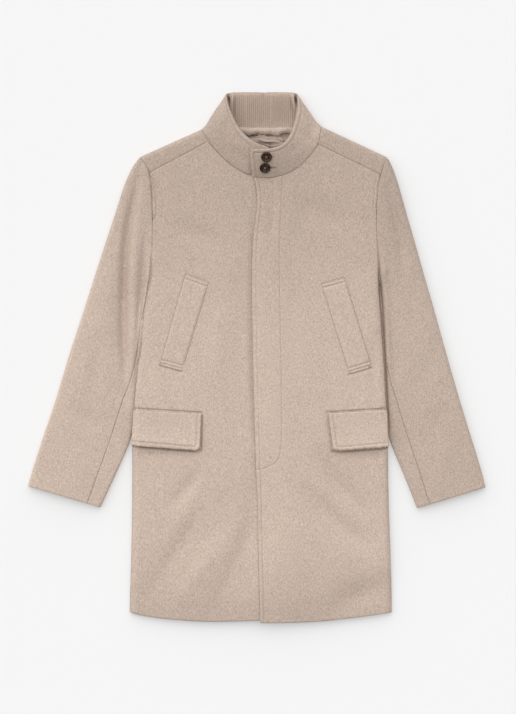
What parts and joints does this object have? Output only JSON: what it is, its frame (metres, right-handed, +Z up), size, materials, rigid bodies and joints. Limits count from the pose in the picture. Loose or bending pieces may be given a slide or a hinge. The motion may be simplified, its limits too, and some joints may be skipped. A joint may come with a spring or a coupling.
{
  "type": "single-breasted coat",
  "caption": "Thigh-length single-breasted wool coat with a buttoned stand collar, ribbed inner collar, slanted chest welts and hip flaps, laid flat on its back.",
  "frame": {"origin": "middle of the laid coat's outline, on the surface it lies on", "axes": "+X to the wearer's left, +Y from hem to collar, +Z up from the surface, out of the coat's front"},
  "size_m": [0.869, 1.0064, 0.0512],
  "materials": {
    "melton": "matt brushed wool melton, beige with light and dark fibres",
    "rib_knit": "matt ribbed wool knit",
    "lining": "smooth woven lining",
    "button": "polished horn-look resin with darker streaks"
  },
  "bodies": {
    "root": {"back": "melton", "front_left": "melton", "front_right": "melton", "sleeve_upper_left": "melton", "sleeve_upper_right": "melton", "sleeve_under_left": "melton", "sleeve_under_right": "melton", "collar_stand": "melton", "collar_rib": "rib_knit", "neck_facing": "melton", "neck_lining": "lining", "welt_left": "melton", "welt_right": "melton", "flap_left": "melton", "flap_right": "melton", "button_upper": "button", "button_lower": "button", "shoulder_right": "melton", "shoulder_left": "melton", "sleeve_fold_right": "melton", "sleeve_fold_left": "melton", "sleeve_behind_right": "melton", "sleeve_behind_left": "melton"}
  },
  "joints": []
}
